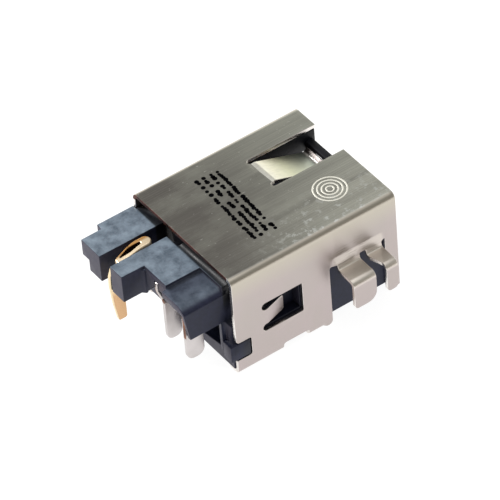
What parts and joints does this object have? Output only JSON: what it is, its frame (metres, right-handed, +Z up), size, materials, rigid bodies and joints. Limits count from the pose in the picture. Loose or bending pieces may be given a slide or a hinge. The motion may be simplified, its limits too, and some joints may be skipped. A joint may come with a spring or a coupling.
{
  "type": "dc barrel jack",
  "caption": "Board-mounted DC power jack: a folded metal shield with wings and a contact finger around a moulded insulator, with a gold centre contact and two plated leaf contacts at the rear.",
  "frame": {"origin": "centre of the mouth, on the axis of the plug's bore", "axes": "+X out of the mouth along the plug's travel, +Z up away from the board"},
  "size_m": [0.0121, 0.0103, 0.0056],
  "materials": {
    "shield": "satin",
    "housing": "satin",
    "centre_contact": "polished",
    "sleeve_contact": "satin",
    "switch_contact": "satin"
  },
  "bodies": {
    "root": {"shield": "shield", "housing": "housing", "centre_contact": "centre_contact", "sleeve_contact": "sleeve_contact", "switch_contact": "switch_contact"}
  },
  "joints": []
}
